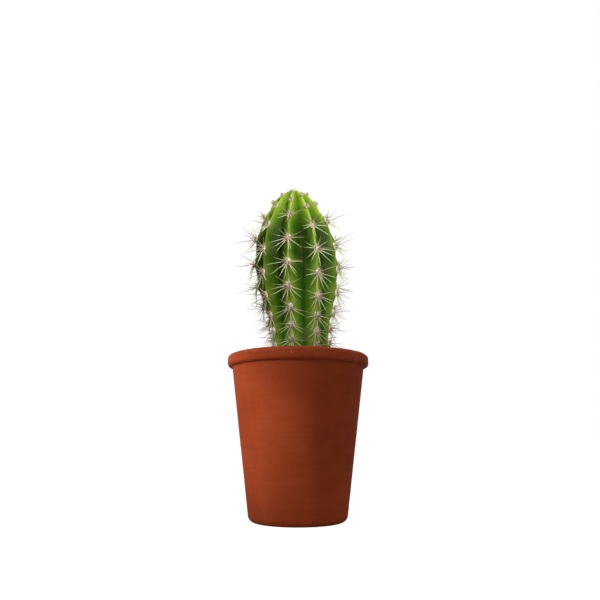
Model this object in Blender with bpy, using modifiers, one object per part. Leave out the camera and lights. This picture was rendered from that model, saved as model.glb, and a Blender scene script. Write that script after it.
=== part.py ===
"""A ribbed columnar cactus in a terracotta long tom pot: pot, potting soil, stem, and each rib's spines.

The origin is at the middle of the pot's flat base, +Z is up and -Y is the front. Lengths are in metres.
"""

import math

import bmesh
import bpy
import numpy as np
from mathutils import Matrix, Vector

MM = 0.001
GAP = 0.3 * MM

# Pot: a tapering wall under a proud, rounded lip
POT_HEIGHT = 89.5 * MM
RIM_RADIUS = 40.0 * MM
LIP_HEIGHT = 6.8 * MM
LIP_PROUD = 2.7 * MM
LIP_TOP_ROUND = 2.2 * MM
LIP_UNDER_ROUND = 1.6 * MM
LIP_INNER_ROUND = 1.2 * MM
FOOT_RADIUS = 27.1 * MM
FOOT_ROUND = 4.0 * MM
WALL = 3.8 * MM
FLOOR = 5.0 * MM
FLOOR_FILLET = 3.0 * MM
DRAIN_RADIUS = 5.0 * MM
POT_STEPS = 48

# Potting soil: fills the pot to a little under its lip, higher beside the stem
SOIL_EDGE_HEIGHT = 76.5 * MM
SOIL_MIDDLE_HEIGHT = 78.5 * MM

# Stem: (height, radius over the rib crests), from the growing tip to the end of the buried rootstock
STEM_OUTLINE = (
    (191.8, 0.0), (191.1, 3.1), (189.6, 6.6), (186.5, 10.4), (181.6, 14.0), (175.6, 17.3),
    (167.8, 21.3), (160.0, 23.5), (152.5, 24.8), (145.0, 25.2), (137.5, 24.8), (130.0, 23.7),
    (122.5, 22.0), (115.5, 19.8), (108.0, 17.7), (100.0, 16.3), (90.0, 15.2), (80.0, 14.6),
    (70.0, 13.8), (60.0, 11.0), (50.0, 7.0), (45.0, 4.2), (43.0, 0.0),
)
# (height, depth of the furrows below the crests)
FURROWS = (
    (77.0, 0.0), (95.0, 1.2), (110.0, 2.5), (130.0, 4.6),
    (150.0, 5.6), (172.0, 5.2), (184.0, 3.0), (191.8, 0.0),
)
RIBS = 9
RIB_STEPS = 6
STEM_RINGS = 28
CREST_POWER = 1.7
RIB_PHASE = math.radians(-13.0)
SPREAD_FACING = math.radians(7.0)
SPREAD_LEVEL = 137.0 * MM
SPREAD_PER_METRE = -6.0
LEAN_PER_METRE = -0.045
LEAN_CENTRE = 134.0 * MM
LEAN_FROM = 80.0 * MM

# Areoles: heights up one rib, and how far each rib's ladder is shifted down, as a share of a rung
RUNGS = (83.0, 89.5, 97.0, 105.2, 114.5, 126.0, 139.2, 153.1, 168.4, 180.5, 187.5)
RUNG_SHIFTS = (0.0, 0.42, 0.05, 0.5, 0.2, 0.62, 0.12, 0.55, 0.28)
PAD_SIDES = 10
PAD_RADIUS = 1.5 * MM
PAD_TOP = 0.8
PAD_DEPTH = 1.1 * MM
PAD_STRETCH = 1.25
SPINE_TILT = math.radians(20.0)
STRAIGHT_DOWN = math.radians(5.0)
# (angle from straight down, spine length), and the central spine's length
SPINE_LENGTHS = ((0.0, 10.0), (36.0, 9.5), (72.0, 9.0), (108.0, 8.0), (144.0, 5.0), (180.0, 4.0))
CENTRAL_LENGTH = 8.0 * MM
CENTRAL_BASE = 0.28
CENTRAL_TILT = math.radians(12.0)
YOUNG_FROM = 172.0 * MM
YOUNG_SHARE = 0.4
SECTOR_SHARE = 0.92
SOIL_CLEARANCE = 1.0 * MM

TIP_WOOL_RADIUS = 2.6 * MM
TIP_SPINE_LENGTH = 2.6 * MM
TIP_SPINE_TILT = math.radians(50.0)


def material(name, colour, roughness):
    made = bpy.data.materials.new(name)
    made.use_nodes = True
    shader = made.node_tree.nodes["Principled BSDF"]
    shader.inputs["Base Color"].default_value = (*colour, 1.0)
    shader.inputs["Roughness"].default_value = roughness
    return made


def arc(centre_x, centre_z, radius, start, end, steps):
    """Points of a round stretch, between two angles in degrees, in the plane of a turned profile."""
    angles = np.radians(np.linspace(start, end, steps + 1))
    return [(centre_x + radius * math.cos(a), centre_z + radius * math.sin(a)) for a in angles]


def new_object(name, mesh, collection, finish):
    made = bpy.data.objects.new(name, mesh)
    collection.objects.link(made)
    mesh.materials.append(finish)
    return made


def turned(name, profile, collection, finish):
    """A ring turned about Z from a closed profile of (radius, height), run down its outer side."""
    mesh = bpy.data.meshes.new(name)
    points = [(x, 0.0, z) for x, z in profile]
    mesh.from_pydata(points, [(i, (i + 1) % len(points)) for i in range(len(points))], [])
    made = new_object(name, mesh, collection, finish)
    screw = made.modifiers.new("turn", "SCREW")
    screw.axis = "Z"
    screw.steps = screw.render_steps = POT_STEPS
    screw.use_merge_vertices = True
    screw.merge_threshold = 0.01 * MM
    screw.use_smooth_shade = True
    return made


def wall_radius(height):
    """The pot's outer radius at a height, on the straight stretch of its wall."""
    top = RIM_RADIUS - LIP_PROUD
    share = (height - FOOT_ROUND) / (POT_HEIGHT - LIP_HEIGHT - FOOT_ROUND)
    return FOOT_RADIUS + (top - FOOT_RADIUS) * share


def inner_radius(height):
    return wall_radius(height) - WALL


def pot(collection):
    lip_base = POT_HEIGHT - LIP_HEIGHT
    lip_inner = inner_radius(POT_HEIGHT)
    floor_edge = inner_radius(FLOOR + FLOOR_FILLET)
    profile = [
        *arc(lip_inner + LIP_INNER_ROUND, POT_HEIGHT - LIP_INNER_ROUND, LIP_INNER_ROUND, 180, 90, 3),
        *arc(RIM_RADIUS - LIP_TOP_ROUND, POT_HEIGHT - LIP_TOP_ROUND, LIP_TOP_ROUND, 90, 0, 5),
        *arc(RIM_RADIUS - LIP_UNDER_ROUND, lip_base + LIP_UNDER_ROUND, LIP_UNDER_ROUND, 0, -90, 4),
        (wall_radius(lip_base), lip_base),
        *arc(FOOT_RADIUS - FOOT_ROUND, FOOT_ROUND, FOOT_ROUND, 0, -90, 5),
        (DRAIN_RADIUS, 0.0),
        (DRAIN_RADIUS, FLOOR),
        *arc(floor_edge - FLOOR_FILLET, FLOOR + FLOOR_FILLET, FLOOR_FILLET, -90, 0, 3),
    ]
    return turned("pot", profile, collection, material("terracotta", (0.42, 0.13, 0.05), 0.8))


def smooth_curve(points, share):
    """Catmull-Rom curve through evenly spaced points, at a share from 0 to 1 of its length in points."""
    points = np.array(points, float)
    padded = np.vstack([2 * points[0] - points[1], points, 2 * points[-1] - points[-2]])
    place = min(max(share, 0.0), 1.0) * (len(points) - 1)
    i = min(int(place), len(points) - 2)
    t = place - i
    a, b, c, d = padded[i : i + 4]
    bend = (2 * a - 5 * b + 4 * c - d) * t**2 + (3 * b - a - 3 * c + d) * t**3
    return 0.5 * (2 * b + (c - a) * t + bend)


def stem_station(share):
    """(height, crest radius) of the stem at a share of its outline, from tip to root."""
    height, radius = smooth_curve(STEM_OUTLINE, share)
    return height * MM, max(radius, 0.0) * MM


STATIONS = np.array([stem_station(share) for share in np.linspace(1.0, 0.0, 400)])


def crest_radius(height):
    return float(np.interp(height, STATIONS[:, 0], STATIONS[:, 1]))


def furrow_depth(height):
    heights, depths = np.array(FURROWS).T * MM
    return float(np.interp(height, heights, depths))


def facing(angle, height):
    """Where a direction round the stem points: the front ribs spread low down and crowd higher up."""
    turned_by = angle + RIB_PHASE
    spread = SPREAD_PER_METRE * (height - SPREAD_LEVEL) if height > LEAN_FROM else 0.0
    return turned_by + spread * math.sin(turned_by - SPREAD_FACING)


def stem_axis(height):
    """How far the leaning stem's middle is to the side at a height."""
    return LEAN_PER_METRE * (max(height, LEAN_FROM) - LEAN_CENTRE)


def on_stem(angle, height, radius):
    turned_to = facing(angle, height)
    return Vector((stem_axis(height) + radius * math.sin(turned_to), -radius * math.cos(turned_to), height))


def stem_mesh(name, ribbed, grown):
    """A sphere's net laid over the stem's outline, furrowed between the crests if it is ribbed."""
    bm = bmesh.new()
    bmesh.ops.create_uvsphere(bm, u_segments=RIBS * RIB_STEPS, v_segments=STEM_RINGS, radius=1.0)
    for vert in bm.verts:
        angle = math.atan2(vert.co.x, -vert.co.y)
        height, radius = stem_station(math.acos(max(-1.0, min(1.0, vert.co.z))) / math.pi)
        from_crest = abs((angle / math.tau * RIBS + 0.5) % 1.0 - 0.5) * 2
        depth = min(furrow_depth(height), 0.5 * radius) if ribbed else 0.0
        if radius < 0.01 * MM:
            vert.co = Vector((stem_axis(height), 0.0, height + math.copysign(grown, vert.co.z)))
        else:
            vert.co = on_stem(angle, height, radius + grown - depth * from_crest**CREST_POWER)
    bmesh.ops.recalc_face_normals(bm, faces=bm.faces)
    mesh = bpy.data.meshes.new(name)
    bm.to_mesh(mesh)
    bm.free()
    mesh.shade_smooth()
    return mesh


def stem(collection):
    finish = material("green_skin", (0.09, 0.2, 0.02), 0.5)
    return new_object("stem", stem_mesh("stem", True, 0.0), collection, finish)


def helper(made):
    made.hide_render = True
    made.display_type = "WIRE"
    return made


def potting_soil(collection, helpers):
    """The soil's plug, with the rootstock's socket cut from its top."""
    floor_edge = inner_radius(FLOOR + FLOOR_FILLET)
    base = FLOOR + GAP
    finish = material("soil", (0.05, 0.035, 0.022), 0.95)
    profile = [
        (0.0, SOIL_MIDDLE_HEIGHT),
        (crest_radius(SOIL_MIDDLE_HEIGHT) + 4 * MM, SOIL_MIDDLE_HEIGHT),
        (inner_radius(SOIL_EDGE_HEIGHT) - GAP, SOIL_EDGE_HEIGHT),
        *arc(floor_edge - FLOOR_FILLET - GAP, base + FLOOR_FILLET, FLOOR_FILLET, 0, -90, 3),
        (0.0, base),
    ]
    made = turned("potting_soil", profile, collection, finish)
    socket = helper(new_object("root_socket", stem_mesh("root_socket", False, GAP), helpers, finish))
    cut = made.modifiers.new("root_socket", "BOOLEAN")
    cut.operation = "DIFFERENCE"
    cut.object = socket
    return made


def areole_heights(rib):
    """The heights of one rib's areoles, lowest first."""
    places = np.arange(1, len(RUNGS)) - RUNG_SHIFTS[rib]
    return [float(h) * MM for h in np.interp(places, np.arange(len(RUNGS)), RUNGS)]


def areole_frame(rib, height):
    """The areole's place on its crest: X to the side, Y up the rib, Z straight out of the skin."""
    angle = math.tau * rib / RIBS
    step = 1.0 * MM
    above = on_stem(angle, height + step, crest_radius(height + step))
    below = on_stem(angle, height - step, crest_radius(height - step))
    up = (above - below).normalized()
    side = Vector((math.cos(facing(angle, height)), math.sin(facing(angle, height)), 0.0))
    side = (side - side.dot(up) * up).normalized()
    out = side.cross(up)
    frame = Matrix((side, up, out)).transposed().to_4x4()
    frame.translation = on_stem(angle, height, crest_radius(height)) + out * GAP
    return frame


def half_sector(rib, height):
    """Half the angle between a rib and its nearer neighbour, at a height."""
    own, left, right = (facing(math.tau * (rib + step) / RIBS, height) for step in (0, -1, 1))
    return min(own - left, right - own) / 2


def spine_length(from_down, sector, height):
    """A radial spine's length: shorter on young areoles, clear of the soil and within its own rib."""
    angles, lengths = np.array(SPINE_LENGTHS).T
    length = float(np.interp(abs(math.degrees(from_down)), angles, lengths)) * MM
    if height > YOUNG_FROM:
        length *= YOUNG_SHARE
    sideways = math.cos(SPINE_TILT) * abs(math.sin(from_down))
    narrowing = sideways - math.tan(sector) * math.sin(SPINE_TILT)
    if narrowing > 0:
        length = min(length, SECTOR_SHARE * crest_radius(height) * math.tan(sector) / narrowing)
    drop = math.cos(SPINE_TILT) * math.cos(from_down)
    if drop > 0:
        length = min(length, (height - SOIL_MIDDLE_HEIGHT - SOIL_CLEARANCE) / drop)
    return length


def draw_out(bm, face, tip):
    """Pulls the middle of a face out to a point, as a spine."""
    bmesh.ops.poke(bm, faces=[face])["verts"][0].co = tip


def areole_mesh(name, rib, height, next_below):
    """A felt pad drawn out into radial spines and a central one. The lowest spine ends in the pad below."""
    frame = areole_frame(rib, height)
    sector = half_sector(rib, height)
    bm = bmesh.new()
    bmesh.ops.create_cone(
        bm,
        cap_ends=True,
        segments=PAD_SIDES,
        radius1=PAD_RADIUS,
        radius2=PAD_TOP * PAD_RADIUS,
        depth=PAD_DEPTH,
    )
    bmesh.ops.rotate(bm, verts=bm.verts, matrix=Matrix.Rotation(math.pi / PAD_SIDES, 3, "Z"))
    bmesh.ops.scale(bm, verts=bm.verts, vec=(1.0, PAD_STRETCH, 1.0))
    bmesh.ops.translate(bm, verts=bm.verts, vec=(0.0, 0.0, PAD_DEPTH / 2))
    sides = [face for face in bm.faces if len(face.verts) == 4]
    caps = [face for face in bm.faces if len(face.verts) == PAD_SIDES]
    top = max(caps, key=lambda face: face.normal.z)
    for face in sides:
        middle = face.calc_center_median()
        from_down = math.atan2(middle.x, -middle.y)
        length = spine_length(from_down, sector, height)
        flat = length * math.cos(SPINE_TILT)
        rise = PAD_DEPTH / 2 + length * math.sin(SPINE_TILT)
        tip = Vector((flat * math.sin(from_down), -flat * math.cos(from_down), rise))
        if next_below and abs(from_down) < STRAIGHT_DOWN:
            tip = frame.inverted() @ (areole_frame(rib, next_below) @ Vector((0.0, 0.0, PAD_DEPTH / 2)))
        draw_out(bm, face, tip)
    bmesh.ops.inset_region(bm, faces=[top], thickness=PAD_RADIUS * (PAD_TOP - CENTRAL_BASE))
    length = CENTRAL_LENGTH * (YOUNG_SHARE if height > YOUNG_FROM else 1.0)
    draw_out(bm, top, Vector((0.0, -math.sin(CENTRAL_TILT), math.cos(CENTRAL_TILT))) * length)
    bmesh.ops.triangulate(bm, faces=bm.faces)
    bm.transform(frame)
    mesh = bpy.data.meshes.new(name)
    bm.to_mesh(mesh)
    bm.free()
    return mesh


def rib_spines(rib, collection, helpers, finish):
    """All the areoles of one rib, each joined to the next by the spine that runs down to it."""
    heights = areole_heights(rib)
    name = f"spines_rib_{rib + 1}"
    made = new_object(name, areole_mesh(name, rib, heights[0], None), collection, finish)
    for step in range(1, len(heights)):
        areole = f"{name}_areole_{step + 1}"
        mesh = areole_mesh(areole, rib, heights[step], heights[step - 1])
        join = made.modifiers.new(areole, "BOOLEAN")
        join.operation = "UNION"
        join.object = helper(new_object(areole, mesh, helpers, finish))
    return made


def crown_spines(collection):
    """The woolly growing tip, with its ring of short new spines."""
    bm = bmesh.new()
    top_radius = PAD_TOP * TIP_WOOL_RADIUS
    bmesh.ops.create_cone(
        bm, cap_ends=True, segments=RIBS, radius1=TIP_WOOL_RADIUS, radius2=top_radius, depth=PAD_DEPTH
    )
    reach = TIP_WOOL_RADIUS + TIP_SPINE_LENGTH * math.cos(TIP_SPINE_TILT)
    rise = Vector((0.0, 0.0, TIP_SPINE_LENGTH * math.sin(TIP_SPINE_TILT)))
    for face in [face for face in bm.faces if len(face.verts) == 4]:
        draw_out(bm, face, reach * face.calc_center_median().normalized() + rise)
    tip = STEM_OUTLINE[0][0] * MM
    bm.transform(Matrix.Translation((stem_axis(tip), 0.0, tip + GAP + PAD_DEPTH / 2)))
    mesh = bpy.data.meshes.new("crown_spines")
    bm.to_mesh(mesh)
    bm.free()
    return new_object("crown_spines", mesh, collection, material("young_wool", (0.5, 0.38, 0.3), 0.95))


def main():
    for old in list(bpy.data.objects):
        bpy.data.objects.remove(old)
    cactus = bpy.data.collections.new("potted_cactus")
    helpers = bpy.data.collections.new("cutters_and_joins")
    for collection in (cactus, helpers):
        bpy.context.scene.collection.children.link(collection)
    pot(cactus)
    potting_soil(cactus, helpers)
    stem(cactus)
    crown_spines(cactus)
    spine_finish = material("spine", (0.55, 0.5, 0.3), 0.5)
    for rib in range(RIBS):
        rib_spines(rib, cactus, helpers, spine_finish)


main()
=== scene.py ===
"""The looks of a ribbed columnar cactus in a terracotta pot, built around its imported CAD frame.

The pot, the soil, the stem's skin, the felt of the areoles and the spines are modelled at full detail
where the frame's plain solids stand. Lengths are in metres, +Z is up and -Y is the front.
"""

import math
import random

import bpy
import numpy as np
from mathutils import Matrix, Vector, noise


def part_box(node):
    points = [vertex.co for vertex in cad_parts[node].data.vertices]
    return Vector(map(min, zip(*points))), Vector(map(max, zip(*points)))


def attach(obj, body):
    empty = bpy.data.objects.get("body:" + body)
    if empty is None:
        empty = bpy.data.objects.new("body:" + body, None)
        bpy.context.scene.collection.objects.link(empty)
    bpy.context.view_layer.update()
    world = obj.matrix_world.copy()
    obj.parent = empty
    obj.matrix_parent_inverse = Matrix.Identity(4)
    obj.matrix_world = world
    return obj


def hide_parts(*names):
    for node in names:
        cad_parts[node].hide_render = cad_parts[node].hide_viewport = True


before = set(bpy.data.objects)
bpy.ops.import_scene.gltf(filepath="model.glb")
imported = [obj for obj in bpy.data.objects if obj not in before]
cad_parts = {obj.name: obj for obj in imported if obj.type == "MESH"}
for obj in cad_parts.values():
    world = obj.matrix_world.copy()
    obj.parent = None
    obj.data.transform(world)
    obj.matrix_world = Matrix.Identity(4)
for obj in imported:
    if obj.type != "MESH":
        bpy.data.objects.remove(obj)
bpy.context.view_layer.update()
MM = 0.001

# The pot's section: the CAD's own sizes, with softer rounds under the lip
RIM_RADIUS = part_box("pot")[1].x
POT_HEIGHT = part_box("pot")[1].z
LIP_HEIGHT = 6.8 * MM
LIP_PROUD = 2.7 * MM
LIP_TOP_ROUND = 2.2 * MM
LIP_UNDER_ROUND = 2.1 * MM
LIP_INNER_ROUND = 1.2 * MM
LIP_FILLET = 1.2 * MM
FOOT_RADIUS = 27.1 * MM
FOOT_ROUND = 4.0 * MM
WALL = 3.8 * MM
FLOOR = 5.0 * MM
FLOOR_FILLET = 3.0 * MM
DRAIN_RADIUS = 5.0 * MM
HOLE_ROUND = 0.6 * MM
POT_STEPS = 160
RING_PITCH = 0.45 * MM
TURNING_DEPTH = 0.035 * MM
WORN_PLACES = 26

# The stem's outline, the same as the CAD's, from the growing tip to the root's end:
# (height, radius over the crests) in mm
STEM_OUTLINE = (
    (191.8, 0.0), (191.1, 3.1), (189.6, 6.6), (186.5, 10.4), (181.6, 14.0), (175.6, 17.3),
    (167.8, 21.3), (160.0, 23.5), (152.5, 24.8), (145.0, 25.2), (137.5, 24.8), (130.0, 23.7),
    (122.5, 22.0), (115.5, 19.8), (108.0, 17.7), (100.0, 16.3), (90.0, 15.2), (80.0, 14.6),
    (70.0, 13.8), (60.0, 11.0), (50.0, 7.0), (45.0, 4.2), (43.0, 0.0),
)
# (height, depth of the furrows below the crests) in mm
FURROWS = (
    (77.0, 0.0), (95.0, 1.2), (110.0, 2.5), (130.0, 4.6),
    (150.0, 5.6), (172.0, 5.2), (184.0, 3.0), (191.8, 0.0),
)
RIBS = sum(name.startswith("spines_rib_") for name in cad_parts)
CREST_POWER = 1.6
VALLEY_POWER = 8.0
RIB_PHASE = math.radians(-13.0)
SPREAD_FACING = math.radians(7.0)
SPREAD_LEVEL = 137.0 * MM
SPREAD_PER_METRE = -6.0
LEAN_PER_METRE = -0.045
LEAN_CENTRE = 134.0 * MM
LEAN_FROM = 80.0 * MM
SKIN_SEGMENTS = 216
SKIN_RINGS = 210
# The skin roughens over a stretch above the soil and turns smooth again over one below the tip
ROUGH_FROM = 78.0 * MM
ROUGH_OVER = 6.0 * MM
SMOOTH_FROM = 176.0 * MM
SMOOTH_OVER = 14.0 * MM

# The areoles' heights up a rib in mm, and each rib's shift down as a share of a rung
RUNGS = (83.0, 89.5, 97.0, 105.2, 114.5, 126.0, 139.2, 153.1, 168.4, 180.5, 187.5)
RUNG_SHIFTS = (0.0, 0.42, 0.05, 0.5, 0.2, 0.62, 0.12, 0.55, 0.28)
SWELL = 0.75 * MM
SWELL_WIDTH = 2.6 * MM
SWELL_LENGTH = 2.8 * MM
NOTCH = 0.3 * MM
NOTCH_ABOVE = 4.6 * MM

SOIL_EDGE_HEIGHT = 76.5 * MM
SOIL_MIDDLE_HEIGHT = 78.5 * MM
STEM_FOOT = 15.0 * MM
SOIL_SLOPE = 16.0 * MM
GAP = 0.3 * MM

FULL_GROWN_BELOW = 160.0 * MM
JUST_BORN_ABOVE = 188.0 * MM
OLD_BELOW = 124.0 * MM

# (angle from straight down in degrees, length in mm) of a full-grown areole's spread spines, on one side
RADIAL_SPINES = ((0, 11.0), (26, 11.5), (50, 12.0), (74, 11.5), (97, 10.5), (122, 8.0), (152, 5.5))
RADIAL_RADIUS = 0.185 * MM
CENTRAL_RADIUS = 0.15 * MM
CENTRAL_LENGTH = 12.5 * MM

POT_LAMP = 4.55
PLANT_LAMP = 17.0
TOP_LAMP = 14.0
SURROUND = 0.48


# ---------------------------------------------------------------- working by hand


def deselect_all():
    if bpy.context.mode != "OBJECT":
        bpy.ops.object.mode_set(mode="OBJECT")
    bpy.ops.object.select_all(action="DESELECT")


def select_only(obj):
    deselect_all()
    obj.select_set(True)
    bpy.context.view_layer.objects.active = obj


def named(name):
    """The object just added, under its own name."""
    made = bpy.context.object
    made.name = made.data.name = name
    return made


def edit_all(obj):
    select_only(obj)
    bpy.ops.object.mode_set(mode="EDIT")
    bpy.ops.mesh.select_all(action="SELECT")


def apply_modifier(obj, modifier):
    select_only(obj)
    bpy.ops.object.modifier_apply(modifier=modifier.name)


def places_of(obj):
    flat = np.empty(len(obj.data.vertices) * 3)
    obj.data.vertices.foreach_get("co", flat)
    return flat.reshape(-1, 3)


def set_places(obj, points):
    obj.data.vertices.foreach_set("co", np.asarray(points, np.float32).ravel())
    obj.data.update()


def write_layer(obj, name, values):
    """A value for each vertex, which the materials read by its name."""
    layer = obj.data.attributes.get(name) or obj.data.attributes.new(name, "FLOAT", "POINT")
    layer.data.foreach_set("value", np.broadcast_to(values, len(obj.data.vertices)).astype(np.float32))


def copy_of(pattern, points, **layers):
    """A copy of a pattern with its own mesh: its vertices at new places, its layers at one value each."""
    made = pattern.copy()
    made.data = pattern.data.copy()
    bpy.context.scene.collection.objects.link(made)
    set_places(made, points)
    for name, value in layers.items():
        write_layer(made, name, value)
    return made


def join(pieces, name):
    deselect_all()
    for piece in pieces:
        piece.select_set(True)
    bpy.context.view_layer.objects.active = pieces[0]
    bpy.ops.object.join()
    return named(name)


def outward(obj):
    """Merges what meets and turns every face to the outside."""
    edit_all(obj)
    bpy.ops.mesh.remove_doubles(threshold=0.002 * MM)
    bpy.ops.mesh.normals_make_consistent(inside=False)
    bpy.ops.object.mode_set(mode="OBJECT")


def spun(name, profile, steps):
    """A closed section in the XZ plane, spun all the way round Z."""
    mesh = bpy.data.meshes.new(name)
    edges = [(i, (i + 1) % len(profile)) for i in range(len(profile))]
    mesh.from_pydata([(x, 0.0, z) for x, z in profile], edges, [])
    made = bpy.data.objects.new(name, mesh)
    bpy.context.scene.collection.objects.link(made)
    edit_all(made)
    bpy.ops.mesh.spin(steps=steps, angle=math.tau, center=(0, 0, 0), axis=(0, 0, 1))
    outward(made)
    return made


def smooth(obj, sharp_over=40.0):
    select_only(obj)
    bpy.ops.object.shade_smooth_by_angle(angle=math.radians(sharp_over))


def finish_piece(piece, slot, material, *nodes):
    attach(piece, "root")
    piece.data.materials.clear()
    piece.data.materials.append(material)
    if nodes:
        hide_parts(*nodes)
    return piece


def rough(points, size, seed):
    """Smooth noise from -1 to 1 at each point, with bumps of about that size."""
    shift = Vector((seed * 7.3, seed * 3.1, seed * 5.7))
    return np.array([noise.noise(Vector(p) / size + shift) for p in points])


# ---------------------------------------------------------------- materials


def srgb(red, green, blue):
    """A screen colour from 0 to 255 as the linear colour that a shader takes."""
    shares = np.array((red, green, blue)) / 255
    linear = np.where(shares <= 0.04045, shares / 12.92, ((shares + 0.055) / 1.055) ** 2.4)
    return (*map(float, linear), 1.0)


def add_node(tree, kind, inputs=None, **settings):
    made = tree.nodes.new("ShaderNode" + kind)
    for name, value in settings.items():
        setattr(made, name, value)
    for name, value in (inputs or {}).items():
        if isinstance(value, bpy.types.NodeSocket):
            tree.links.new(value, made.inputs[name])
        else:
            made.inputs[name].default_value = value
    return made


def new_group(name, inputs, output):
    """An empty node group with named number inputs beside its Vector, and one output."""
    group = bpy.data.node_groups.new(name, "ShaderNodeTree")
    group.interface.new_socket("Vector", in_out="INPUT", socket_type="NodeSocketVector")
    for socket, value in inputs.items():
        made = group.interface.new_socket(socket, in_out="INPUT", socket_type="NodeSocketFloat")
        made.default_value = value
    group.interface.new_socket(output, in_out="OUTPUT", socket_type="NodeSocketFloat")
    return group, group.nodes.new("NodeGroupInput").outputs, group.nodes.new("NodeGroupOutput").inputs


def make_mottle():
    """Soft blotches: a mask that runs from 0 to 1 between two levels of a noise."""
    group, given, result = new_group("mottle", {"Scale": 100.0, "Low": 0.4, "High": 0.6}, "Mask")
    blotches = add_node(group, "TexNoise", {
        "Vector": given["Vector"], "Scale": given["Scale"], "Detail": 4.0, "Roughness": 0.6,
    })
    ramp = add_node(group, "MapRange", {
        "Value": blotches.outputs["Fac"], "From Min": given["Low"], "From Max": given["High"],
    }, interpolation_type="SMOOTHSTEP")
    group.links.new(ramp.outputs["Result"], result["Mask"])
    return group


def make_specks():
    """Scattered round dots of about a set share of the cells they lie in, some cells left bare."""
    group, given, result = new_group("specks", {"Scale": 1000.0, "Size": 0.25, "Share": 0.5}, "Mask")
    cells = add_node(group, "TexVoronoi", {"Vector": given["Vector"], "Scale": given["Scale"]})
    inside = add_node(group, "MapRange", {
        "Value": cells.outputs["Distance"], "From Min": given["Size"], "From Max": 0.0,
    }, interpolation_type="SMOOTHSTEP")
    pick = add_node(group, "SeparateColor", {"Color": cells.outputs["Color"]})
    kept = add_node(group, "Math", {0: pick.outputs["Red"], 1: given["Share"]}, operation="LESS_THAN")
    both = add_node(group, "Math", {0: inside.outputs["Result"], 1: kept.outputs[0]}, operation="MULTIPLY")
    group.links.new(both.outputs[0], result["Mask"])
    return group


def make_grain():
    """A fine rough height: small grains on slightly larger ones."""
    group, given, result = new_group("grain", {"Scale": 2000.0}, "Height")
    fine = add_node(group, "TexNoise", {
        "Vector": given["Vector"], "Scale": given["Scale"], "Detail": 5.0, "Roughness": 0.7,
    })
    group.links.new(fine.outputs["Fac"], result["Height"])
    return group


class Finish:
    """A material under construction: its node tree, its Principled shader and the shared node groups."""

    makers = {"mottle": make_mottle, "specks": make_specks, "grain": make_grain}
    groups = {}

    def __init__(self, name, **constants):
        self.material = bpy.data.materials.new(name)
        self.material.use_nodes = True
        self.tree = self.material.node_tree
        self.shader = self.tree.nodes["Principled BSDF"]
        for socket, value in constants.items():
            self.shader.inputs[socket.replace("_", " ")].default_value = value
        self.place = add_node(self.tree, "TexCoord").outputs["Object"]

    def node(self, kind, inputs=None, **settings):
        return add_node(self.tree, kind, inputs, **settings)

    def group(self, name, output, **inputs):
        if name not in self.groups:
            self.groups[name] = self.makers[name]()
        made = self.tree.nodes.new("ShaderNodeGroup")
        made.node_tree = self.groups[name]
        self.tree.links.new(inputs.pop("Vector", self.place), made.inputs["Vector"])
        for socket, value in inputs.items():
            made.inputs[socket].default_value = value
        return made.outputs[output]

    def mottle(self, **inputs):
        return self.group("mottle", "Mask", **inputs)

    def specks(self, **inputs):
        return self.group("specks", "Mask", **inputs)

    def grain(self, **inputs):
        return self.group("grain", "Height", **inputs)

    def layer(self, name):
        return self.node("Attribute", attribute_name=name).outputs["Fac"]

    def stretched(self, scale):
        return self.node("Mapping", {"Vector": self.place, "Scale": scale}).outputs["Vector"]

    def height_share(self, low, high):
        """From 0 at the low height to 1 at the high one."""
        split = self.node("SeparateXYZ", {"Vector": self.place})
        return self.ramp(split.outputs["Z"], low, high)

    def ramp(self, value, low, high, start=0.0, end=1.0):
        return self.node("MapRange", {
            "Value": value, "From Min": low, "From Max": high, "To Min": start, "To Max": end,
        }, interpolation_type="SMOOTHSTEP").outputs["Result"]

    def times(self, first, second):
        return self.node("Math", {0: first, 1: second}, operation="MULTIPLY").outputs[0]

    def plus(self, first, second):
        return self.node("Math", {0: first, 1: second}, operation="ADD").outputs[0]

    def mix(self, share, first, second):
        made = self.node("Mix", data_type="RGBA")
        for socket, value in (("Factor_Float", share), ("A_Color", first), ("B_Color", second)):
            target = next(one for one in made.inputs if one.identifier == socket)
            if isinstance(value, bpy.types.NodeSocket):
                self.tree.links.new(value, target)
            else:
                target.default_value = value
        return next(one for one in made.outputs if one.identifier == "Result_Color")

    def colours(self, value, *stops):
        """A run of colours along a value from 0 to 1, from (place, colour) stops."""
        made = self.node("ValToRGB", {"Fac": value})
        run = made.color_ramp.elements
        while len(run) < len(stops):
            run.new(0.5)
        for element, (place, colour) in zip(run, stops):
            element.position = place
            element.color = colour
        return made.outputs["Color"]

    def wear(self, colour, roughness, height, strength, distance):
        """Links the finished colour, roughness and bump height to the shader."""
        bump = self.node("Bump", {"Height": height, "Strength": strength, "Distance": distance})
        self.tree.links.new(colour, self.shader.inputs["Base Color"])
        self.tree.links.new(roughness, self.shader.inputs["Roughness"])
        self.tree.links.new(bump.outputs["Normal"], self.shader.inputs["Normal"])
        return self.material


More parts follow.
